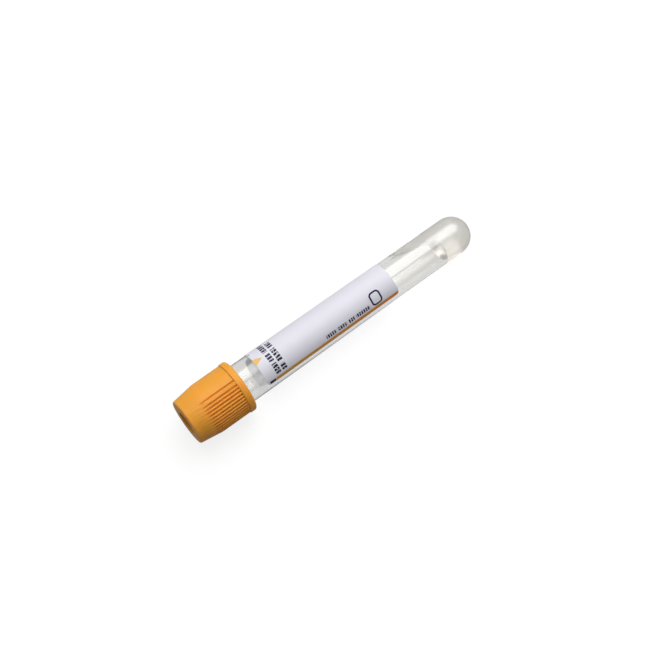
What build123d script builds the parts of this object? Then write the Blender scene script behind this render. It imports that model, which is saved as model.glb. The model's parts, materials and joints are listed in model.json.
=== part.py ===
"""Evacuated blood collection tube of the 13 x 100 mm size, closed, lying at rest on a table.

Every piece is a turned shape about one line, the tube's axis. Places along that line are measured in
millimetres from the cap's end face towards the round end. Angles round it are in degrees, counted from
the top of the lying tube towards -Y.

The row frame has its origin on the table, under the middle of the lying tube. +X runs towards the round
end and +Z is up. The cap is fatter than the tube, so the axis falls gently towards the round end. A small
flat spot under the cap's soft flange ring keeps the tube from rolling.
"""
import os
from math import asin, atan2, cos, degrees, hypot, radians, sin, tan

from build123d import *

os.makedirs("parts", exist_ok=True)

# ---- Driving dimensions, mm and degrees ---------------------------------------------------------

# Clear tube
tube_length = 100.0
mouth_radius = 6.5           # outside, at the open mouth
draft_end = 77.0             # the mould's draft runs out just past the label
ball_radius = 6.2            # outside, from there to the round end
tube_wall = 1.0
rim_rounding = 0.3

# Safety cap
cap_length = 19.8
cap_above_tube = 8.0         # from the cap's end face to the tube's rim
port_radius = 3.75           # hole in the end face
end_wall = 1.6
collar_radius = 7.35         # at the end face
end_rounding = 0.5
collar_length = 7.5          # smooth cone that widens to the grip
collar_rounding = 10.0       # where the cone meets the grip
grip_radius = 8.4
grip_end = 17.5
ring_radius = 8.65           # rounded flange ring round the cap's mouth
ring_rounding = 0.8
ring_root = 0.25
rest_flat = 0.2              # depth of the flat spot under the ring
chamber_radius = 7.0         # holds the stopper's head
bead_radius = 6.8            # snap bead that keeps the head in the cap
bead_length = 0.5
bead_slope = 0.35
skirt_bore = 7.4             # clear of the tube all round
skirt_mouth = 7.5
lip_bevel = 0.3

# Grip: two fields of ribs with a smooth panel between them on each side
rib_pitch = 7.4              # degrees
grooves_per_field = 13       # between ribs; one more runs along each panel's edge
end_rib = 13.5               # the double-width rib beside a panel, degrees
first_panel_middle = -32.5
panel_radius = 8.2
groove_depth = 0.33
groove_floor_width = 0.2
groove_mouth_width = 0.5

# Rubber stopper
plug_clearance = 0.06        # at the tube's rim, on the radius
plug_length = 11.4
plug_chamfer = 0.5
head_rounding = 0.4
dish_radius = 3.9            # needle target in the head
dish_floor_radius = 3.0
dish_depth = 2.8
dish_rounding = 0.8
well_radius = 3.2            # hollow in the plug's end
well_top_radius = 2.7
well_depth = 9.6
well_rounding = 1.2

# Separator gel
gel_gap = 0.02               # the gel wets the wall; this keeps the two solids apart
wedge_start = 80.5           # where the thin end of the wedge meets the wall
wedge_end = 104.0            # where the slanted face would cross the axis
gel_face = 96.1              # the face across the other half of the bore
scoop_rounding = 3.0
wedge_angle = -69.0

# Printed label
label_start = 25.9
label_end = 75.9
label_first_edge = 70.0      # the long edge with the stripe
label_wrap = 285.0           # the rest of the turn stays clear, to see the sample
label_thickness = 0.1
label_gap = 0.02             # adhesive
label_corner = 1.2

# ---- The tube's line and how it rests -----------------------------------------------------------

tube_end = cap_above_tube + tube_length
ball_centre = tube_end - ball_radius
draft = (mouth_radius - ball_radius) / (draft_end - cap_above_tube)

# The table touches the ball and cuts the flat spot into the rounded edge of the flange ring, so the axis
# slopes down by the angle at which the two reach equally low.
lip_centre = cap_length - ring_rounding
lip_height = ring_radius - ring_rounding
reach = hypot(ball_centre - lip_centre, lip_height)
lip_drop = ring_rounding - rest_flat
slope = atan2(lip_height, ball_centre - lip_centre) - asin((ball_radius - lip_drop) / reach)

# The closed tube's lowest point sets the height of the line, and its two ends set the middle.
line_height = ball_centre * sin(slope) + ball_radius
right_reach = ball_centre * cos(slope) + ball_radius
collar_widening = atan2(grip_radius - collar_radius, collar_length)
end_centre = collar_radius - end_rounding * (1 - sin(collar_widening)) / cos(collar_widening)
left_reach = end_rounding * cos(slope) - end_centre * sin(slope) - end_rounding
line_start = -(right_reach + left_reach) / 2

axis_start = Vector(line_start, 0, line_height)
axis_direction = Vector(cos(slope), 0, -sin(slope))
tube_line = Axis(axis_start, axis_direction)


def across(place):
    """Plane square to the tube's line: local X points up, local Y towards -Y."""
    up = Vector(sin(slope), 0, cos(slope))
    return Plane(origin=axis_start + axis_direction * place, x_dir=up, z_dir=axis_direction)


def beside(angle):
    """Plane through the tube's line: local X runs along it, local Y outwards at the given angle."""
    outwards = across(0).from_local_coords(Vector(cos(radians(angle)), sin(radians(angle)), 0))
    out_direction = outwards - axis_start
    return Plane(origin=axis_start, x_dir=axis_direction, z_dir=axis_direction.cross(out_direction))


def facing(angle):
    """Plane on the tube's line that looks outwards at the given angle: local X runs along the line."""
    return Plane(origin=axis_start, x_dir=axis_direction, z_dir=beside(angle).y_dir)


def outer_radius(place):
    """Outside radius of the tube along its drafted stretch."""
    return mouth_radius - draft * (place - cap_above_tube)


section = beside(0)

# ---- Safety cap ---------------------------------------------------------------------------------

# Corners of the cap's section: place, radius and rounding, out along the outside, back along the bore.
bead_start = cap_above_tube + bead_slope
bead_end = bead_start + bead_length
cap_corners = [
    (0, port_radius, 0),
    (0, collar_radius, end_rounding),
    (collar_length, grip_radius, collar_rounding),
    (grip_end, grip_radius, 0),
    (grip_end + ring_root, ring_radius, 0.15),
    (cap_length, ring_radius, ring_rounding),
    (cap_length, skirt_mouth + lip_bevel, 0),
    (cap_length - lip_bevel, skirt_mouth, 0),
    (bead_end + bead_slope, skirt_bore, 0),
    (bead_end, bead_radius, 0),
    (bead_start, bead_radius, 0),
    (cap_above_tube, chamber_radius, 0),
    (end_wall, chamber_radius, 0),
    (end_wall, port_radius, 0),
]

cut_start = collar_length / 2   # where the collar is still narrower than the panels and the groove floors
groove_span = (grooves_per_field - 1) * rib_pitch
panel_half = 90 - groove_span / 2 - end_rib
first_groove = first_panel_middle + panel_half + end_rib
beyond_grip = grip_radius + 2

# An edge groove's outer side is the panel's edge.
to_edge_groove = end_rib - degrees(groove_mouth_width / 2 / grip_radius)
groove_angles = []
for field_start in (first_groove, first_groove + 180):
    groove_angles += [field_start + number * rib_pitch for number in range(grooves_per_field)]
    groove_angles += [field_start - to_edge_groove, field_start + groove_span + to_edge_groove]

with BuildPart() as safety_cap:
    with BuildSketch(section):
        with BuildLine():
            FilletPolyline(
                *[(place, radius) for place, radius, _ in cap_corners],
                radius=[rounding for *_, rounding in cap_corners],
                close=True,
            )
        make_face()
    revolve(axis=tube_line)

    # The two smooth panels lie between the fields of ribs.
    with BuildSketch(across(cut_start)):
        with PolarLocations(0, 2, start_angle=first_panel_middle):
            half_width = beyond_grip * tan(radians(panel_half))
            Polygon((0, 0), (beyond_grip, -half_width), (beyond_grip, half_width), align=None)
        Circle(panel_radius, mode=Mode.SUBTRACT)
    extrude(amount=grip_end - cut_start, mode=Mode.SUBTRACT)

    # The grooves stop dead at the flange ring and run out on the collar.
    with BuildSketch(across(cut_start)):
        for angle in groove_angles:
            with PolarLocations(grip_radius - groove_depth, 1, start_angle=angle):
                Polygon(
                    (0, -groove_floor_width / 2),
                    (groove_depth, -groove_mouth_width / 2),
                    (2 * groove_depth, -groove_mouth_width / 2),
                    (2 * groove_depth, groove_mouth_width / 2),
                    (groove_depth, groove_mouth_width / 2),
                    (0, groove_floor_width / 2),
                    align=None,
                )
    extrude(amount=grip_end - cut_start, mode=Mode.SUBTRACT)

    # The flat spot lies on the table.
    ring_length = cap_length - grip_end
    with BuildSketch(Plane.XY):
        with Locations((line_start + grip_end + ring_length / 2, 0)):
            Rectangle(2 * ring_length, 2 * ring_radius)
    extrude(amount=-2 * rest_flat, mode=Mode.SUBTRACT)

# ---- Rubber stopper -----------------------------------------------------------------------------

plug_radius = mouth_radius - tube_wall - plug_clearance
plug_end = cap_above_tube + plug_length
dish_floor = end_wall + dish_depth
well_top = plug_end - well_depth
stopper_corners = [
    (end_wall, dish_radius, 0.3),
    (end_wall, chamber_radius, head_rounding),
    (cap_above_tube, chamber_radius, head_rounding),
    (cap_above_tube, plug_radius, 0),
    (plug_end - plug_chamfer, plug_radius, 0.3),
    (plug_end, plug_radius - plug_chamfer, 0.2),
    (plug_end, well_radius, 0.3),
    (well_top, well_top_radius, well_rounding),
    (well_top, 0, 0),
    (dish_floor, 0, 0),
    (dish_floor, dish_floor_radius, dish_rounding),
]

with BuildPart() as stopper:
    with BuildSketch(section):
        with BuildLine():
            FilletPolyline(
                *[(place, radius) for place, radius, _ in stopper_corners],
                radius=[rounding for *_, rounding in stopper_corners],
                close=True,
            )
        make_face()
    revolve(axis=tube_line)

# ---- Clear tube ---------------------------------------------------------------------------------

bore_radius = mouth_radius - tube_wall
bore_ball = ball_radius - tube_wall

with BuildPart() as tube:
    with BuildSketch(section) as tube_section:
        with BuildLine():
            Line((cap_above_tube, bore_radius), (cap_above_tube, mouth_radius))
            Line((cap_above_tube, mouth_radius), (draft_end, ball_radius))
            Line((draft_end, ball_radius), (ball_centre, ball_radius))
            CenterArc((ball_centre, 0), ball_radius, 90, -90)
            Line((tube_end, 0), (tube_end - tube_wall, 0))
            CenterArc((ball_centre, 0), bore_ball, 0, 90)
            Line((ball_centre, bore_ball), (draft_end, bore_ball))
            Line((draft_end, bore_ball), (cap_above_tube, bore_radius))
        make_face()
        fillet(tube_section.vertices().sort_by(Axis.X)[:2], radius=rim_rounding)
    revolve(axis=tube_line)

# ---- Separator gel ------------------------------------------------------------------------------

gel_radius = bore_ball - gel_gap
outside = mouth_radius + 1

with BuildPart() as separator_gel:
    with BuildSketch(section):
        with BuildLine():
            Line((wedge_start, 0), (wedge_start, gel_radius))
            Line((wedge_start, gel_radius), (ball_centre, gel_radius))
            CenterArc((ball_centre, 0), gel_radius, 90, -90)
            Line((ball_centre + gel_radius, 0), (wedge_start, 0))
        make_face()
    revolve(axis=tube_line)

    # The air above the gel: one slanted face down from the wedge's thin end, then a face across.
    rise = gel_radius / (wedge_end - wedge_start)
    with BuildSketch(beside(wedge_angle)):
        with BuildLine():
            FilletPolyline(
                (wedge_start - 1, rise * (wedge_end - wedge_start + 1)),
                (gel_face, -rise * (gel_face - wedge_end)),
                (gel_face, -outside),
                (wedge_start - 1, -outside),
                radius=(0, scoop_rounding, 0, 0),
                close=True,
            )
        make_face()
    extrude(amount=outside, both=True, mode=Mode.SUBTRACT)

# ---- Printed label ------------------------------------------------------------------------------

label_inside = [outer_radius(place) + label_gap for place in (label_start, label_end)]

with BuildPart() as label:
    with BuildSketch(beside(label_first_edge)):
        with BuildLine():
            Polyline(
                (label_start, label_inside[0]),
                (label_end, label_inside[1]),
                (label_end, label_inside[1] + label_thickness),
                (label_start, label_inside[0] + label_thickness),
                close=True,
            )
        make_face()
    revolve(axis=tube_line, revolution_arc=-label_wrap)

    # Each corner loses what lies outside its rounding circle.
    for angle, inwards in ((label_first_edge, 1), (label_first_edge - label_wrap, -1)):
        with BuildSketch(facing(angle)):
            for corner, along in ((label_start, label_corner), (label_end, -label_corner)):
                with Locations((corner, 0)):
                    Rectangle(2 * label_corner, 2 * label_corner)
                with Locations((corner + along, inwards * label_corner)):
                    Circle(label_corner, mode=Mode.SUBTRACT)
        extrude(amount=outside, mode=Mode.SUBTRACT)

# ---- Files --------------------------------------------------------------------------------------

pieces = {
    "safety_cap": safety_cap,
    "stopper": stopper,
    "tube": tube,
    "separator_gel": separator_gel,
    "label": label,
}
for name, piece in pieces.items():
    piece.part.label = name
    export_step(piece.part, f"parts/{name}.step")

print(f"axis slope {degrees(slope):.3f} deg, start x {line_start:.3f} z {line_height:.3f}")
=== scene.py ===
"""Looks of the closed blood collection tube that lies on a table.

Every piece is a surface about the tube's line. Places along that line are in millimetres from the
cap's end face, radii are in millimetres from the line, and angles are in degrees from the top
towards -Y.
"""
import json
from math import acos, cos, radians, sin, tan

import bpy
import numpy as np
from mathutils import Matrix, Vector

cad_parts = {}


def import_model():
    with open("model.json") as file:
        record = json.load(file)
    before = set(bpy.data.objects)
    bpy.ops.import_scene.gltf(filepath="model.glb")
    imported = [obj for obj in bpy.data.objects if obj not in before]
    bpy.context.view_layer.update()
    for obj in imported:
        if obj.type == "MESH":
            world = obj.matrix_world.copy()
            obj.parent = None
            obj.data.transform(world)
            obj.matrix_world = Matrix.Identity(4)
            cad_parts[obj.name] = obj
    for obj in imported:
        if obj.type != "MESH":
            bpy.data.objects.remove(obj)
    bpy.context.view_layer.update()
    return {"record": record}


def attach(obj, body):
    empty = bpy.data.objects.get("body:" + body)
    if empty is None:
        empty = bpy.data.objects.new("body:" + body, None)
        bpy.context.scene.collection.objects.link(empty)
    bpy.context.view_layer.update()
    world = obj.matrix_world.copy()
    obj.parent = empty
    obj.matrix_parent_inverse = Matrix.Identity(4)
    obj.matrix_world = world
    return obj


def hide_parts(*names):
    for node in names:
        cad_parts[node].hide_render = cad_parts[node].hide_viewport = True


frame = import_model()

MM = 0.001
TUBE_BODY = "tube_body"
CLOSURE = "closure"

# ---- Sizes, mm and degrees ----------------------------------------------------------------------

tube_length = 100.0
mouth_radius = 6.5
draft_end = 77.0
ball_radius = 6.2
tube_wall = 1.0
rim_rounding = 0.3

cap_length = 19.8
cap_above_tube = 8.0
end_wall = 1.6
end_rounding = 0.5
port_radius = 3.75
port_rounding = 0.12
collar_radius = 7.35
collar_length = 7.5          # the collar is a cone that widens to the grip
collar_rounding = 10.0
grip_radius = 8.4
grip_end = 17.5
ring_radius = 8.65
ring_root = 0.25
ring_root_rounding = 0.15
ring_rounding = 0.8
chamber_radius = 7.0
chamber_rounding = 0.2
bead_radius = 6.8
bead_start = 0.35            # the bead's places are from the tube's rim
bead_end = 0.85
bead_foot = 1.2
bead_rounding = 0.1
skirt_bore = 7.4
skirt_rounding = 0.2
skirt_mouth = 7.5
lip_bevel = 0.3
lip_rounding = 0.1

rib_pitch = 7.4
grooves_per_field = 13
end_rib = 13.5               # from a panel's edge to the middle of a field's first groove
panel_middle = -32.5
panel_radius = 8.2
panel_edge_width = 0.3
groove_floor = 8.03
groove_half_width = 0.22
groove_mouth_width = 0.5
groove_start = 1.5           # grooves can show from here on
groove_end_wall = 0.02       # length of the wall that closes the grooves at the grip's end
groove_full_shade = 0.07     # a groove is at its darkest from this depth on

head_rounding = 0.4
dish_radius = 3.9
dish_floor_radius = 3.0
dish_depth = 2.8
dish_rounding = 0.8
plug_length = 11.4
plug_clearance = 0.06
plug_chamfer = 0.5
plug_tip_rounding = 0.2
well_radius = 3.2
well_top_radius = 2.7
well_depth = 9.6
well_rounding = 1.2
rubber_edge_rounding = 0.3

wedge_start = 81.2
wedge_end = 100.4
gel_face = 96.1
wedge_angle = -69.0
gel_into_wall = 0.03         # the gel wets the wall, so its skin lies just inside it
scoop_blend = 1.6
scoop_step = 3.2             # the slanted face steps down beside the scoop
step_across = 3.1
step_width = 0.14
meniscus = 0.35
meniscus_reach = 0.3

label_start = 25.9
label_end = 75.9
label_first_edge = 70.0
label_wrap = 285.0
label_gap = 0.02
label_thickness = 0.1
label_corner = 1.2

# ---- Grids: points on an arc, round the line and along a piece ----------------------------------

arc_points = 9
quarter_points = 25
wall_columns = 192
rubber_columns = 144
even_face_rows = 28          # the gel's free face, out to nine tenths of the way to the wall
close_face_rows = 12         # and from there to the wall, ever closer
gel_wall_rows = 20
label_rows = 61
label_columns = 180
label_corner_columns = 10
groove_steps = np.array((0.5, 0.9, 1.2, 1.5, 1.8, 2.1, 2.5, 3.0))   # degrees from its middle
plain_step = 3.0             # degrees between columns away from grooves
least_step = 0.15            # degrees, and of two closer columns only one stays
crease = 35.0                # degrees, and sharper edges stay sharp

# ---- Light and camera ---------------------------------------------------------------------------

key_direction = (0.30, 0.32, 0.90)
key_distance = 0.57          # m
key_side = 0.5               # m
key_power = 1.25             # W
window_full = 20.0           # degrees from the window's middle
window_gone = 40.0
window_level = 2.6
room_levels = (0.1, 0.5)     # below and above
table_lifts = (("Is Camera Ray", 0.82), ("Is Transmission Ray", 0.52), ("Is Glossy Ray", 0.3))
room_lifts = (("Is Camera Ray", 1.0), ("Is Transmission Ray", 0.75))
camera_elevation = 69.25     # degrees down from level
camera_heading = 37.5        # degrees from +Y towards +X
camera_lens = 72.9
camera_sensor = 36.0
camera_clip = 0.01           # m
cap_left = 40.45             # mm from the view's middle to the middle of the cap's end face
cap_down = 29.63
cap_ahead = 387.8
table_half_side = 1.5        # m
most_turns = 5.5             # bounces after which a ray led along inside a wall goes straight on

# ---- Finishes that two materials share ----------------------------------------------------------

pet_colour = "#FEFEFC"
pet_shadow = "#FDFDFC"
pet_ior = 1.57
paper_shadow = "#E0E0E4"
paper_ior = 1.48
print_rounding = 0.12        # mm
print_blur = 0.06            # mm
wide_letter = 1.02           # mm from gap to gap
small_letter = 0.8           # mm

# ---- The tube's line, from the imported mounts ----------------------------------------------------

mounts = {mount["name"]: mount for mount in frame["record"]["mounts"]}
port = mounts["needle_port"]
outward = np.array(port["axis"]) / np.linalg.norm(port["axis"])
cap_face = np.array(port["pos_m"]) + outward * port["dims"]["length_mm"] / 2 * MM
along = -outward
upward = np.array((0, 0, 1.0)) - along * along[2]
upward /= np.linalg.norm(upward)
sideways = np.cross(along, upward)

tube_end = cap_above_tube + tube_length
ball_centre = tube_end - ball_radius
draft = (mouth_radius - ball_radius) / (draft_end - cap_above_tube)


def on_line(place, radius, angle):
    """Point in the row frame: along the line by place, then out by radius, turned by angle from
    the top."""
    turn = np.radians(angle)
    out = np.cos(turn)[..., None] * upward + np.sin(turn)[..., None] * sideways
    away = np.asarray(place)[..., None] * along + np.asarray(radius)[..., None] * out
    return cap_face + MM * away


def outer_radius(place):
    """Outside radius of the tube: it falls in a straight line from the mouth to the draft's end,
    and is level from there."""
    return np.maximum(ball_radius, mouth_radius - draft * (place - cap_above_tube))


# ---- Meshes -------------------------------------------------------------------------------------


def rounded(corners):
    """Closed outline of (place, radius, rounding) corners. Each corner becomes an arc of its
    rounding that touches both its sides: the centre lies on the bisector, and the arc turns
    evenly round it."""
    outline = []
    for number, (place, radius, rounding) in enumerate(corners):
        corner = np.array((place, radius), float)
        if not rounding:
            outline.append(corner[None])
            continue
        sides = [np.array(corners[other % len(corners)][:2]) - corner
                 for other in (number - 1, number + 1)]
        before, after = (side / np.linalg.norm(side) for side in sides)
        half = acos(before @ after) / 2
        middle = (before + after) / np.linalg.norm(before + after)
        centre = corner + middle * rounding / sin(half)
        start, end = (corner + side * rounding / tan(half) - centre for side in (before, after))
        sweep = np.pi - 2 * half
        share = np.linspace(0, 1, arc_points)[:, None]
        arc = (start * np.sin((1 - share) * sweep) + end * np.sin(share * sweep)) / sin(sweep)
        outline.append(centre + arc)
    return np.concatenate(outline)


def cells(numbers):
    """Four-sided cells between neighbouring points of a grid of point numbers. They face outwards
    where rows run towards the round end over an outside and columns turn from the top towards
    -Y."""
    corners = (numbers[:-1, :-1], numbers[:-1, 1:], numbers[1:, 1:], numbers[1:, :-1])
    return np.stack(corners, axis=-1).reshape(-1, 4)


def piece(name, points, faces, materials, body, nodes):
    """Mesh object from points and faces, smooth apart from its creases, on its CAD body."""
    mesh = bpy.data.meshes.new(name)
    mesh.from_pydata(points.reshape(-1, 3), [], faces)
    mesh.shade_smooth()
    mesh.set_sharp_from_angle(angle=radians(crease))
    for material in materials:
        mesh.materials.append(material)
    made = bpy.data.objects.new(name, mesh)
    bpy.context.scene.collection.objects.link(made)
    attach(made, body)
    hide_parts(*nodes)
    return made


def ring_faces(rows, columns):
    """Faces of a tyre-like skin: rows run round a closed outline, columns round the line, and both
    close."""
    numbers = np.arange(rows * columns).reshape(rows, columns)
    numbers = np.vstack((numbers, numbers[:1]))
    return cells(np.hstack((numbers, numbers[:, :1]))).tolist()


def bulb_faces(rows, columns):
    """Faces of a ball-like skin: the first and last rows are single points, and columns close
    round."""
    numbers = 1 + np.arange((rows - 2) * columns).reshape(rows - 2, columns)
    numbers = np.hstack((numbers, numbers[:, :1]))
    last = (rows - 2) * columns + 1
    first_fan = np.stack((np.zeros(columns, int), numbers[0, 1:], numbers[0, :-1]), axis=-1)
    last_fan = np.stack((numbers[-1, 1:], np.full(columns, last), numbers[-1, :-1]), axis=-1)
    return first_fan.tolist() + cells(numbers).tolist() + last_fan.tolist()


def bulb_points(places, radii, angles):
    """Points of a ball-like skin from grids of places and radii, one row after another."""
    grid = on_line(places, radii, angles)
    return np.concatenate((grid[0, :1], grid[1:-1].reshape(-1, 3), grid[-1, :1]))


def turned(outline, columns):
    """Skin of an outline that starts and ends on the line, turned round it: its points and its
    faces."""
    angles = np.linspace(0, 360, columns, endpoint=False)
    places = np.repeat(outline[:, :1], columns, axis=1)
    radii = np.repeat(outline[:, 1:], columns, axis=1)
    return bulb_points(places, radii, angles), bulb_faces(len(outline), columns)


# ---- Materials ----------------------------------------------------------------------------------


def linear(colour):
    """Scene colour of an sRGB hex value."""
    parts = [int(colour[start:start + 2], 16) / 255 for start in (1, 3, 5)]
    return (*(part / 12.92 if part <= 0.04045 else ((part + 0.055) / 1.055) ** 2.4
              for part in parts), 1)


def add(material, kind, inputs=(), **settings):
    """Adds a node. Settings are its own properties, and inputs are pairs of a socket and what goes
    into it: a value or another node's output."""
    tree = material.node_tree
    made = tree.nodes.new(kind)
    for setting, value in settings.items():
        setattr(made, setting, value)
    for socket, value in inputs:
        if isinstance(value, bpy.types.NodeSocket):
            tree.links.new(value, made.inputs[socket])
        else:
            made.inputs[socket].default_value = value
    return made


def joined(material, operation, shares):
    """Shares put together two by two with a maths operation."""
    total = shares[0]
    for share in shares[1:]:
        total = add(material, "ShaderNodeMath", [(0, total), (1, share)],
                    operation=operation).outputs[0]
    return total


def blank(name):
    """New material with an empty node tree."""
    material = bpy.data.materials.new(name)
    material.use_nodes = True
    material.node_tree.nodes.clear()
    return material


def finish(material, shader):
    """Sends a shader to the material's surface."""
    add(material, "ShaderNodeOutputMaterial", [("Surface", shader)])
    return material


def moulded_polyethylene():
    """Gold LDPE, injection moulded: satin, waxy and a little translucent, with the fine grain of
    the mould. Down in the grooves it is painted a darker, redder orange: painted shade for the light
    that bounces from wall to wall there."""
    material = blank("moulded_gold_polyethylene")
    place = add(material, "ShaderNodeTexCoord").outputs["Object"]
    # Flow marks a few millimetres wide, and a spark-eroded grain of about 0.25 mm.
    flow = add(material, "ShaderNodeTexNoise", [
        ("Vector", place), ("Scale", 1 / (4 * MM)), ("Detail", 3.0)])
    grain = add(material, "ShaderNodeTexNoise", [
        ("Vector", place), ("Scale", 1 / (0.25 * MM)), ("Detail", 2.0)])
    # Painted shade: down in the grooves the colour is mixed towards a darker, redder orange, up to
    # #D87A18 where a groove is deep, in place of the shade and the light bouncing from wall to wall
    # there.
    groove = add(material, "ShaderNodeAttribute", attribute_name="painted_groove_shade")
    tone = add(material, "ShaderNodeMix", [
        ("Factor", flow.outputs["Fac"]), ("A", linear("#FCAC40")), ("B", linear("#F8A438"))],
        data_type="RGBA")
    painted_shade_tone = add(material, "ShaderNodeMix", [
        ("Factor", groove.outputs["Fac"]), ("A", tone.outputs["Result"]),
        ("B", linear("#D87A18"))], data_type="RGBA")
    bump = add(material, "ShaderNodeBump", [
        ("Height", grain.outputs["Fac"]), ("Strength", 0.12), ("Distance", 0.03 * MM)])
    shader = add(material, "ShaderNodeBsdfPrincipled", [
        ("Base Color", painted_shade_tone.outputs["Result"]), ("Roughness", 0.45), ("IOR", 1.51),
        ("Specular IOR Level", 0.25), ("Subsurface Weight", 0.5),
        ("Subsurface Radius", (1.0, 0.4, 0.1)), ("Subsurface Scale", 1.6 * MM),
        ("Normal", bump.outputs["Normal"])])
    return finish(material, shader.outputs["BSDF"])


def moulded_rubber():
    """Red-brown bromobutyl rubber, moulded and siliconised: dull, with a faint fine grain."""
    material = blank("moulded_bromobutyl_rubber")
    place = add(material, "ShaderNodeTexCoord").outputs["Object"]
    # The grain is about 0.3 mm wide.
    grain = add(material, "ShaderNodeTexNoise", [
        ("Vector", place), ("Scale", 1 / (0.3 * MM)), ("Detail", 3.0)])
    tone = add(material, "ShaderNodeMix", [
        ("Factor", grain.outputs["Fac"]), ("A", linear("#5E1E10")), ("B", linear("#6C2818"))],
        data_type="RGBA")
    bump = add(material, "ShaderNodeBump", [
        ("Height", grain.outputs["Fac"]), ("Strength", 0.2), ("Distance", 0.03 * MM)])
    shader = add(material, "ShaderNodeBsdfPrincipled", [
        ("Base Color", tone.outputs["Result"]), ("Roughness", 0.55), ("IOR", 1.52),
        ("Normal", bump.outputs["Normal"])])
    return finish(material, shader.outputs["BSDF"])


def lets_lamps_through(material, shader, tint, rays=("Is Shadow Ray", "Is Diffuse Ray")):
    """Clear or thin stuff that lamps shine through: rays on their way to a lamp, and those that
    gather soft light where the stuff is clear, pass with a tint. So do rays that a wall has led
    along inside it."""
    path = add(material, "ShaderNodeLightPath")
    led = add(material, "ShaderNodeMath", [(0, path.outputs["Ray Depth"]), (1, most_turns)],
              operation="GREATER_THAN")
    passing = joined(material, "MAXIMUM",
                     [path.outputs[ray] for ray in rays] + [led.outputs[0]])
    clear = add(material, "ShaderNodeBsdfTransparent", [("Color", linear(tint))])
    both = add(material, "ShaderNodeMixShader", [
        (0, passing), (1, shader), (2, clear.outputs["BSDF"])])
    return finish(material, both.outputs["Shader"])


def clear_pet():
    """Injection moulded PET: water clear and glossy, with faint draw lines along the tube."""
    material = blank("clear_moulded_pet")
    place = add(material, "ShaderNodeTexCoord").outputs["Object"]
    # Unevenness of the mould, about 4 mm round the tube and 130 mm along it.
    long_way = add(material, "ShaderNodeMapping", [("Vector", place), ("Scale", (0.03, 1.0, 1.0))])
    waves = add(material, "ShaderNodeTexNoise", [
        ("Vector", long_way.outputs["Vector"]), ("Scale", 1 / (4.0 * MM)), ("Detail", 0.0)])
    bump = add(material, "ShaderNodeBump", [
        ("Height", waves.outputs["Fac"]), ("Strength", 0.1), ("Distance", 0.02 * MM)])
    shader = add(material, "ShaderNodeBsdfPrincipled", [
        ("Base Color", linear(pet_colour)), ("Roughness", 0.05), ("IOR", pet_ior),
        ("Transmission Weight", 1.0), ("Normal", bump.outputs["Normal"])])
    return lets_lamps_through(material, shader.outputs["BSDF"], pet_shadow)


def sprayed_film():
    """Inside of the tube: silica and surfactant sprayed on the PET and dried to a faint speckled
    haze."""
    material = blank("sprayed_silica_film_on_pet")
    place = add(material, "ShaderNodeTexCoord").outputs["Object"]
    # Dried droplets are about 0.3 mm across.
    drops = add(material, "ShaderNodeTexNoise", [
        ("Vector", place), ("Scale", 1 / (0.3 * MM)), ("Detail", 2.0)])
    haze = add(material, "ShaderNodeMapRange", [
        ("Value", drops.outputs["Fac"]), ("From Min", 0.45), ("From Max", 0.75),
        ("To Min", 0.03), ("To Max", 0.04)])
    shader = add(material, "ShaderNodeBsdfPrincipled", [
        ("Base Color", linear(pet_colour)), ("Roughness", haze.outputs["Result"]),
        ("IOR", pet_ior), ("Transmission Weight", 1.0)])
    return lets_lamps_through(material, shader.outputs["BSDF"], pet_shadow)


def barrier_gel():
    """Polyester gel thickened with silica: soft and cloudy, a pale warm grey that light spreads
    in."""
    material = blank("polyester_barrier_gel")
    place = add(material, "ShaderNodeTexCoord").outputs["Object"]
    # Cloudiness from filling, about 3 mm wide.
    cloud = add(material, "ShaderNodeTexNoise", [
        ("Vector", place), ("Scale", 1 / (3 * MM)), ("Detail", 2.0)])
    clear = add(material, "ShaderNodeMapRange", [
        ("Value", cloud.outputs["Fac"]), ("From Min", 0.3), ("From Max", 0.7),
        ("To Min", 0.85), ("To Max", 0.95)])
    shader = add(material, "ShaderNodeBsdfPrincipled", [
        ("Base Color", linear("#FFFCF9")), ("Roughness", 0.3), ("IOR", 1.4),
        ("Transmission Weight", clear.outputs["Result"]), ("Subsurface Weight", 1.0),
        ("Subsurface Radius", (1.0, 0.95, 0.9)), ("Subsurface Scale", 3.0 * MM)])
    return lets_lamps_through(material, shader.outputs["BSDF"], "#F6F3F0")


def print_patch(material, sheet, low, high, rounding=print_rounding):
    """Share of a rounded patch of print between two corners of the sheet, in mm: 1 inside it and 0
    outside. It comes from the distance to the patch's own middle part, which is smaller all round
    by the rounding."""
    middle = [(first + last) / 2 for first, last in zip(low, high)]
    core = [(last - first) / 2 - rounding for first, last in zip(low, high)]
    away = sheet
    for operation, *other in (("SUBTRACT", (*middle, 0)), ("ABSOLUTE",),
                              ("SUBTRACT", (*core, 0)), ("MAXIMUM", (0, 0, 0))):
        away = add(material, "ShaderNodeVectorMath", list(enumerate((away, *other))),
                   operation=operation).outputs[0]
    away = add(material, "ShaderNodeVectorMath", [(0, away)], operation="LENGTH")
    return add(material, "ShaderNodeMapRange", [
        ("Value", away.outputs["Value"]), ("From Min", rounding + print_blur / 2),
        ("From Max", rounding - print_blur / 2)]).outputs["Result"]


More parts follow.
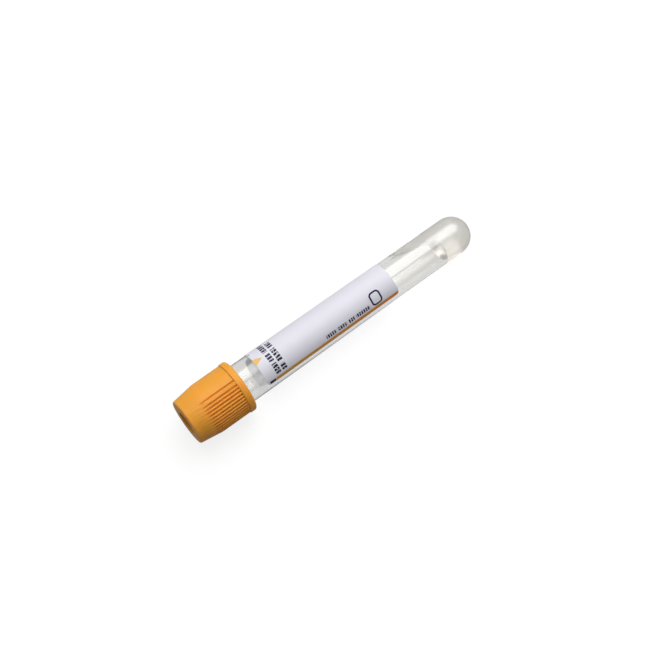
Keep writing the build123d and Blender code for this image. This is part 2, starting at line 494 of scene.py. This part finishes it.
def word_marks(material, sheet, steps, pitch, patches):
    """Rows of plain blocks in place of words. Along steps, a coordinate in mm, each pitch has a
    gap whose edges fade 0.09 to 0.17 mm from its middle, and a noise about 0.55 mm wide wears the
    blocks as print is worn."""
    to_gap = add(material, "ShaderNodeMath", [(0, steps), (1, pitch / 2)], operation="PINGPONG")
    blocks = add(material, "ShaderNodeMapRange", [
        ("Value", to_gap.outputs[0]), ("From Min", 0.09), ("From Max", 0.17)])
    grit = add(material, "ShaderNodeTexNoise", [
        ("Vector", sheet), ("Scale", 1 / 0.55), ("Detail", 1.0)])
    strokes = add(material, "ShaderNodeMapRange", [
        ("Value", grit.outputs["Fac"]), ("From Min", 0.32), ("From Max", 0.4)])
    words = joined(material, "MAXIMUM",
                   [print_patch(material, sheet, low, high) for low, high in patches])
    return joined(material, "MULTIPLY",
                  [words, blocks.outputs["Result"], strokes.outputs["Result"]])


def thin_paper(material, front, colour, share):
    """Paper that light shines through by a share to its other side. Rays on their way to a lamp
    pass with a tint."""
    through = add(material, "ShaderNodeBsdfTranslucent", [("Color", colour)])
    both = add(material, "ShaderNodeMixShader", [(0, share), (1, front), (2, through.outputs[0])])
    return lets_lamps_through(material, both.outputs["Shader"], paper_shadow, ("Is Shadow Ray",))


def label_paper():
    """Coated label paper, printed: lavender white and semi-gloss, with a gold stripe along one
    long edge. The sheet's own millimetres run along the tube from the label's start and round it
    from the striped edge."""
    material = blank("coated_label_paper")
    unit = add(material, "ShaderNodeUVMap", uv_map="label_sheet").outputs["UV"]
    size = (label_end - label_start, radians(label_wrap) * mouth_radius, 0)
    sheet = add(material, "ShaderNodeVectorMath", [(0, unit), (1, size)],
                operation="MULTIPLY").outputs[0]
    apart = add(material, "ShaderNodeSeparateXYZ", [("Vector", sheet)])
    along_sheet, round_sheet = apart.outputs["X"], apart.outputs["Y"]

    # Two rows of word blocks run round the tube, and a small one runs along it.
    wide_words = word_marks(material, sheet, round_sheet, wide_letter, [
        ((3.8, 2.1), (5.5, 5.6)), ((3.8, 6.4), (5.5, 9.1)), ((3.8, 9.9), (5.5, 14.6)),
        ((6.1, 2.1), (7.8, 4.3)), ((6.1, 5.1), (7.8, 9.7)), ((6.1, 10.5), (7.8, 13.3))])
    small_words = word_marks(material, sheet, along_sheet, small_letter, [
        ((22.7, 1.8), (26.3, 3.1)), ((27.0, 1.8), (30.6, 3.1)), ((31.3, 1.8), (33.4, 3.1)),
        ((34.1, 1.8), (39.4, 3.1))])
    # A plain rounded frame, a small tick at the label's start and a short bar before the stripe.
    outer = print_patch(material, sheet, (40.4, 1.6), (44.3, 6.2), rounding=1.3)
    inner = print_patch(material, sheet, (40.95, 2.15), (43.75, 5.65), rounding=0.8)
    box = add(material, "ShaderNodeMath", [(0, outer), (1, inner)], operation="SUBTRACT",
              use_clamp=True)
    tick = print_patch(material, sheet, (0.0, 13.0), (0.8, 13.3))
    bar = print_patch(material, sheet, (0.8, 0.3), (2.95, 1.2))
    ink = joined(material, "MAXIMUM", [wide_words, small_words, box.outputs[0], tick, bar])

    # A triangle points along the tube from the label's start. It is where the distance from its
    # middle line over half its base, and the distance along it over its height, add up to under 1.
    middle, half_base, height = 9.14, 1.35, 3.0
    from_middle = add(material, "ShaderNodeMath", [(0, round_sheet), (1, middle)],
                      operation="SUBTRACT")
    from_middle = add(material, "ShaderNodeMath", [(0, from_middle.outputs[0])],
                      operation="ABSOLUTE")
    aside = add(material, "ShaderNodeMath", [(0, from_middle.outputs[0]), (1, half_base)],
                operation="DIVIDE")
    forth = add(material, "ShaderNodeMath", [(0, along_sheet), (1, height)], operation="DIVIDE")
    out = joined(material, "ADD", [aside.outputs[0], forth.outputs[0]])
    triangle = add(material, "ShaderNodeMapRange", [
        ("Value", out), ("From Min", 1.04), ("From Max", 0.96)])
    # The stripe turns from gold to orange along the label.
    stripe = print_patch(material, sheet, (3.1, 0.16), (50.5, 1.28))
    warm = add(material, "ShaderNodeMapRange", [
        ("Value", along_sheet), ("From Min", 5.0), ("From Max", 48.0)])
    gold = add(material, "ShaderNodeMix", [
        ("Factor", warm.outputs["Result"]), ("A", linear("#DBA63A")), ("B", linear("#E8902F"))],
        data_type="RGBA")

    # The coating is a little uneven over 5 mm, and the paper's fibres are about 0.3 mm long.
    cloud = add(material, "ShaderNodeTexNoise", [
        ("Vector", sheet), ("Scale", 1 / 5.0), ("Detail", 2.0)])
    fibres = add(material, "ShaderNodeTexNoise", [
        ("Vector", sheet), ("Scale", 1 / 0.3), ("Detail", 2.0)])
    paper = add(material, "ShaderNodeMix", [
        ("Factor", cloud.outputs["Fac"]), ("A", linear("#F0EFF8")), ("B", linear("#EBEAF3"))],
        data_type="RGBA")
    colour = paper.outputs["Result"]
    for share, top in ((stripe, gold.outputs["Result"]),
                       (triangle.outputs["Result"], linear("#F3CB72")),
                       (ink, linear("#0D0838"))):
        colour = add(material, "ShaderNodeMix", [("Factor", share), ("A", colour), ("B", top)],
                     data_type="RGBA").outputs["Result"]
    bump = add(material, "ShaderNodeBump", [
        ("Height", fibres.outputs["Fac"]), ("Strength", 0.15), ("Distance", 0.01 * MM)])
    shader = add(material, "ShaderNodeBsdfPrincipled", [
        ("Base Color", colour), ("Roughness", 0.45), ("IOR", paper_ior),
        ("Normal", bump.outputs["Normal"])])
    return thin_paper(material, shader.outputs["BSDF"], colour, 0.28)


def paper_back():
    """Back of the label: bare white paper with clear glue, which light from the front comes
    through."""
    material = blank("bare_label_paper_back")
    place = add(material, "ShaderNodeTexCoord").outputs["Object"]
    # The fibres are about 0.3 mm long.
    fibres = add(material, "ShaderNodeTexNoise", [
        ("Vector", place), ("Scale", 1 / (0.3 * MM)), ("Detail", 2.0)])
    tone = add(material, "ShaderNodeMix", [
        ("Factor", fibres.outputs["Fac"]), ("A", linear("#FCFCFC")), ("B", linear("#F7F7F6"))],
        data_type="RGBA").outputs["Result"]
    shader = add(material, "ShaderNodeBsdfPrincipled", [
        ("Base Color", tone), ("Roughness", 0.7), ("IOR", paper_ior)])
    return thin_paper(material, shader.outputs["BSDF"], tone, 0.5)


# ---- Safety cap ---------------------------------------------------------------------------------


def cap_angles():
    """Angles round the cap: close together across each groove, and evenly apart elsewhere. Returns
    the angles, the middles of the grooves and half the width of a smooth panel. Two equal fields
    of grooves lie opposite each other, and an edge groove's outer side is the panel's edge."""
    groove_span = (grooves_per_field - 1) * rib_pitch
    panel_half = 90 - groove_span / 2 - end_rib
    to_edge = end_rib - np.degrees(groove_mouth_width / 2 / grip_radius)
    field = np.concatenate(((-to_edge,), rib_pitch * np.arange(grooves_per_field),
                            (groove_span + to_edge,)))
    grooves = panel_middle + panel_half + end_rib + np.add.outer((0, 180), field).ravel()
    across = np.concatenate(((-rib_pitch / 2, 0), groove_steps, -groove_steps))
    fine = np.add.outer(grooves, across).ravel()
    plain = np.arange(0, 360, plain_step)
    angles = np.unique(np.round(np.concatenate((fine, plain)) % 360, 3))
    apart = np.diff(angles, append=angles[0] + 360)
    return angles[apart > least_step], grooves, panel_half


def safety_cap():
    """One closed skin. Outline rows run out over the outside and back through the bore. The collar
    is a cone, with a row where it reaches the groove floor's radius and one where it reaches the
    panel's. From the first of them to the grip's end, the part of the radius above the groove
    floor is taken away by a trough round each groove's middle, which is
    1 / (1 + (distance / half width) ** 4). Between a panel's edges the part above the panel's
    radius goes. What would lie below the table is pressed up to it, which makes the flat spot
    under the ring."""
    floor_place, panel_place = (
        collar_length * (radius - collar_radius) / (grip_radius - collar_radius)
        for radius in (groove_floor, panel_radius))
    outline = rounded([
        (0, port_radius, port_rounding), (0, collar_radius, end_rounding),
        (floor_place, groove_floor, 0), (panel_place, panel_radius, 0),
        (collar_length, grip_radius, collar_rounding),
        (grip_end - groove_end_wall, grip_radius, 0), (grip_end, grip_radius, 0),
        (grip_end + ring_root, ring_radius, ring_root_rounding),
        (cap_length, ring_radius, ring_rounding),
        (cap_length, skirt_mouth + lip_bevel, lip_rounding),
        (cap_length - lip_bevel, skirt_mouth, lip_rounding),
        (cap_above_tube + bead_foot, skirt_bore, skirt_rounding),
        (cap_above_tube + bead_end, bead_radius, bead_rounding),
        (cap_above_tube + bead_start, bead_radius, bead_rounding),
        (cap_above_tube, chamber_radius, 0), (end_wall, chamber_radius, chamber_rounding),
        (end_wall, port_radius, port_rounding)])
    angles, grooves, panel_half = cap_angles()
    gap = (angles[:, None] - grooves + 180) % 360 - 180
    distance = np.radians(np.abs(gap).min(axis=1)) * grip_radius
    trough = 1 / (1 + (distance / groove_half_width) ** 4)
    from_panel = np.abs((angles - panel_middle + 90) % 180 - 90) - panel_half
    panel = np.clip(0.5 - np.radians(from_panel) * grip_radius / panel_edge_width, 0, 1)
    place, radius = outline[:, :1], outline[:, 1:]
    on_grip = ((place > groove_start) & (place < grip_end - groove_end_wall / 2)
               & (radius > groove_floor))
    depth = np.where(on_grip, np.maximum((radius - groove_floor) * trough,
                                         (radius - panel_radius) * panel), 0)
    points = on_line(np.broadcast_to(place, depth.shape), radius - depth, angles)
    points[..., 2] = np.maximum(points[..., 2], 0)
    made = piece("ribbed_cap", points, ring_faces(*depth.shape), [moulded_polyethylene()], CLOSURE,
                 ["safety_cap"])
    # Painted shade for the cap's material: each point's share of the darker groove tone, full where
    # a groove is at least groove_full_shade deep.
    full = np.clip((radius - groove_floor) / groove_full_shade, 0, 1)
    shade = np.where(on_grip, full * trough, 0)
    attribute = made.data.attributes.new("painted_groove_shade", "FLOAT", "POINT")
    attribute.data.foreach_set("value", shade.astype(np.float32).ravel())


# ---- Stopper ------------------------------------------------------------------------------------


def stopper():
    """Skin of the turned stopper: from the middle of the dished target, over the head and down the
    plug, to the middle of the well in the plug's end."""
    plug_radius = mouth_radius - tube_wall - plug_clearance
    plug_end = cap_above_tube + plug_length
    outline = rounded([
        (end_wall + dish_depth, 0, 0), (end_wall + dish_depth, dish_floor_radius, dish_rounding),
        (end_wall, dish_radius, rubber_edge_rounding), (end_wall, chamber_radius, head_rounding),
        (cap_above_tube, chamber_radius, head_rounding), (cap_above_tube, plug_radius, 0),
        (plug_end - plug_chamfer, plug_radius, rubber_edge_rounding),
        (plug_end, plug_radius - plug_chamfer, plug_tip_rounding),
        (plug_end, well_radius, rubber_edge_rounding),
        (plug_end - well_depth, well_top_radius, well_rounding), (plug_end - well_depth, 0, 0)])
    points, faces = turned(outline, rubber_columns)
    piece("rubber_stopper", points, faces, [moulded_rubber()], CLOSURE,
          ["stopper"])


# ---- Clear tube ---------------------------------------------------------------------------------


def quarter(radius, start, end):
    """Outline points on a ball's arc between two turns, in degrees from the line towards the
    wall."""
    turn = np.radians(np.linspace(start, end, quarter_points))
    return np.stack((ball_centre + radius * np.cos(turn), radius * np.sin(turn)), axis=-1)


def clear_tube():
    """Skin of the drafted tube: from the ball's inner pole back along the bore, round the rim, and
    along the outside to the outer pole. The bore carries the sprayed film as far as the gel."""
    rim = rounded([
        (draft_end, ball_radius - tube_wall, 0),
        (cap_above_tube, mouth_radius - tube_wall, rim_rounding),
        (cap_above_tube, mouth_radius, rim_rounding), (draft_end, ball_radius, 0)])
    outline = np.concatenate((quarter(ball_radius - tube_wall, 0, 90), rim,
                              quarter(ball_radius, 90, 0)))
    points, faces = turned(outline, wall_columns)
    made = piece("clear_tube", points, faces, [clear_pet(), sprayed_film()], TUBE_BODY,
                 ["tube"])
    centres = np.empty(len(made.data.polygons) * 3, np.float32)
    made.data.polygons.foreach_get("center", centres)
    from_face = (centres.reshape(-1, 3) - cap_face) / MM
    place = from_face @ along
    from_line = np.linalg.norm(from_face - place[:, None] * along, axis=1)
    filmed = (from_line < outer_radius(place) - tube_wall / 2) & (place < gel_face)
    made.data.polygons.foreach_set("material_index", filmed.astype(np.int32))


# ---- Separator gel ------------------------------------------------------------------------------


def free_face(across):
    """Place of the gel's free face at a distance across the bore towards the wedge: the lesser of
    a flat face and a slanted one with a smooth step, 1 / (1 + exp(distance from the step /
    width)), blended by a hyperbola."""
    bore = outer_radius(wedge_start) - tube_wall
    slanted = wedge_end - across * (wedge_end - wedge_start) / bore
    slanted = slanted + scoop_step / (1 + np.exp((across - step_across) / step_width))
    return (gel_face + slanted - np.sqrt((gel_face - slanted) ** 2 + scoop_blend ** 2)) / 2


def separator_gel():
    """Skin of the gel. Rows run out from the line over the free face, which climbs the wall in a
    small meniscus that dies away exponentially, then down the wall and over the ball to its
    pole."""
    angles = np.linspace(0, 360, wall_columns, endpoint=False)
    share = np.concatenate((np.linspace(0, 0.9, even_face_rows),
                            1 - np.geomspace(0.08, 0.004, close_face_rows), (1,)))[:, None]
    wall = outer_radius(wedge_end) - tube_wall + gel_into_wall
    toward = np.cos(np.radians(angles - wedge_angle))
    climb = meniscus * np.exp(-(1 - share) * wall / meniscus_reach)
    face_places = free_face(share * wall * toward) - climb
    face_radii = share * (outer_radius(face_places) - tube_wall + gel_into_wall)
    down = np.linspace(0, 1, gel_wall_rows)[1:, None]
    wall_places = face_places[-1] + down * (ball_centre - face_places[-1])
    wall_radii = outer_radius(wall_places) - tube_wall + gel_into_wall
    ball = quarter(ball_radius - tube_wall + gel_into_wall, 90, 0)[1:, :, None]
    ball_places, ball_radii = (np.repeat(ball[:, part], len(angles), axis=1) for part in (0, 1))
    places = np.concatenate((face_places, wall_places, ball_places))
    radii = np.concatenate((face_radii, wall_radii, ball_radii))
    points = bulb_points(places, radii, angles)
    piece("gel_plug", points, bulb_faces(len(places), len(angles)), [barrier_gel()], TUBE_BODY,
          ["separator_gel"])


# ---- Label --------------------------------------------------------------------------------------


def printed_label():
    """Bent sheet. Each row across it is shortened near the long edges by the corners' rounding
    circle, and runs along the outside and back along the inside, which is the paper's bare back.
    Its UV map runs 0 to 1 along and round the label."""
    rounding = np.degrees(label_corner / outer_radius(label_start))
    corner_turns = rounding * (1 - np.cos(np.linspace(0, np.pi / 2, label_corner_columns)))
    middle = np.linspace(rounding, label_wrap - rounding, label_columns)[1:-1]
    turns = np.concatenate((corner_turns, middle, label_wrap - corner_turns[::-1]))
    from_edge = np.clip(np.minimum(turns, label_wrap - turns) / rounding, 0, 1)
    short = label_corner * (1 - np.sqrt(1 - (1 - from_edge) ** 2))
    share = np.linspace(0, 1, label_rows)[:, None]
    out_places = label_start + short + share * (label_end - label_start - 2 * short)
    inside = outer_radius(out_places) + label_gap
    places = np.concatenate((out_places, out_places[::-1]))
    radii = np.concatenate((inside + label_thickness, inside[::-1]))
    points = on_line(places, radii, label_first_edge - turns)

    # The skin closes over both ends of the rows, and a strip of cells closes each long edge.
    rows, columns = places.shape
    numbers = np.arange(rows * columns).reshape(rows, columns)
    skin = cells(np.vstack((numbers, numbers[:1])))[:, ::-1]
    half = rows // 2
    first, last = (cells(np.stack((numbers[:half, edge], numbers[:half - 1:-1, edge]), axis=-1))
                   for edge in (0, -1))
    faces = np.concatenate((skin, first, last[:, ::-1])).tolist()
    made = piece("printed_label", points, faces, [label_paper(), paper_back()], TUBE_BODY,
                 ["label"])
    row_of_face = np.arange(len(faces)) // (columns - 1)
    on_back = (row_of_face >= half) & (row_of_face < rows - 1)
    made.data.polygons.foreach_set("material_index", on_back.astype(np.int32))

    layer = made.data.uv_layers.new(name="label_sheet")
    corner_points = np.empty(len(made.data.loops), np.int32)
    made.data.loops.foreach_get("vertex_index", corner_points)
    sheet = np.stack(((places - label_start) / (label_end - label_start),
                      np.broadcast_to(turns / label_wrap, places.shape)), axis=-1).reshape(-1, 2)
    layer.data.foreach_set("uv", sheet[corner_points].astype(np.float32).ravel())


# ---- Floor, light and camera --------------------------------------------------------------------


def floor():
    """White table and backdrop in one plane. What the camera sees of it, straight, is lifted to
    white, less so in gloss and through clear plastic, and the object's shadow stays."""
    material = blank("white_table")
    paper = add(material, "ShaderNodeBsdfDiffuse", [("Color", linear("#808080"))])
    path = add(material, "ShaderNodeLightPath")
    lifts = [add(material, "ShaderNodeMath", [(0, path.outputs[ray]), (1, lift)],
                 operation="MULTIPLY").outputs[0] for ray, lift in table_lifts]
    glow = add(material, "ShaderNodeEmission", [("Strength", joined(material, "MAXIMUM", lifts))])
    both = add(material, "ShaderNodeAddShader", [(0, paper.outputs[0]), (1, glow.outputs[0])])
    finish(material, both.outputs[0])
    mesh = bpy.data.meshes.new("table")
    side = table_half_side
    mesh.from_pydata([(-side, -side, 0), (side, -side, 0), (side, side, 0), (-side, side, 0)],
                     [], [(0, 1, 2, 3)])
    mesh.materials.append(material)
    table = bpy.data.objects.new("table", mesh)
    bpy.context.scene.collection.objects.link(table)


def lamp(name, place, target, size, power):
    """Square soft lamp at a place in metres, which looks at the target."""
    data = bpy.data.lights.new(name, "AREA")
    data.size = size
    data.energy = power
    made = bpy.data.objects.new(name, data)
    made.location = place
    made.rotation_euler = (Vector(target) - Vector(place)).to_track_quat("-Z", "Y").to_euler()
    bpy.context.scene.collection.objects.link(made)


def world():
    """Pale room with a round soft window above, whose edge fades. The camera sees the room as a
    white backdrop, and through clear plastic it looks about as light as the table."""
    made = bpy.data.worlds.new("pale_room")
    bpy.context.scene.world = made
    made.use_nodes = True
    made.node_tree.nodes.clear()
    direction = add(made, "ShaderNodeTexCoord").outputs["Generated"]
    toward = add(made, "ShaderNodeVectorMath", [(0, direction), (1, key_direction)],
                 operation="DOT_PRODUCT").outputs["Value"]
    room = add(made, "ShaderNodeMapRange", [
        ("Value", toward), ("From Min", -0.6), ("From Max", 1.0), ("To Min", room_levels[0]),
        ("To Max", room_levels[1])])
    window = add(made, "ShaderNodeMapRange", [
        ("Value", toward), ("From Min", cos(radians(window_gone))),
        ("From Max", cos(radians(window_full))), ("To Max", window_level)],
        interpolation_type="SMOOTHSTEP")
    path = add(made, "ShaderNodeLightPath")
    lifts = [add(made, "ShaderNodeMath", [(0, path.outputs[ray]), (1, lift)],
                 operation="MULTIPLY").outputs[0] for ray, lift in room_lifts]
    strength = joined(made, "MAXIMUM",
                      [room.outputs["Result"], window.outputs["Result"], *lifts])
    background = add(made, "ShaderNodeBackground", [("Strength", strength)])
    add(made, "ShaderNodeOutputWorld", [("Surface", background.outputs[0])])


def camera():
    """Camera that looks down on the tube from the cap's side, with the round end to the upper
    right. It is placed by where the middle of the cap's end face lies in its view."""
    elevation, heading = radians(camera_elevation), radians(camera_heading)
    level = Vector((sin(heading), cos(heading), 0))
    right = Vector((cos(heading), -sin(heading), 0))
    forward = level * cos(elevation) - Vector((0, 0, sin(elevation)))
    up = level * sin(elevation) + Vector((0, 0, cos(elevation)))
    place = Vector(cap_face) + MM * (cap_left * right + cap_down * up - cap_ahead * forward)
    data = bpy.data.cameras.new("camera")
    data.sensor_width = camera_sensor
    data.lens = camera_lens
    data.clip_start = camera_clip
    made = bpy.data.objects.new("camera", data)
    turn = Matrix((right, up, -forward)).transposed().to_4x4()
    made.matrix_world = Matrix.Translation(place) @ turn
    bpy.context.scene.collection.objects.link(made)
    bpy.context.scene.camera = made


camera()
world()
lamp("key_lamp", key_distance * Vector(key_direction), (0, 0, 0), key_side, key_power)
floor()
safety_cap()
stopper()
clear_tube()
separator_gel()
printed_label()

bpy.context.scene.view_settings.view_transform = "Standard"
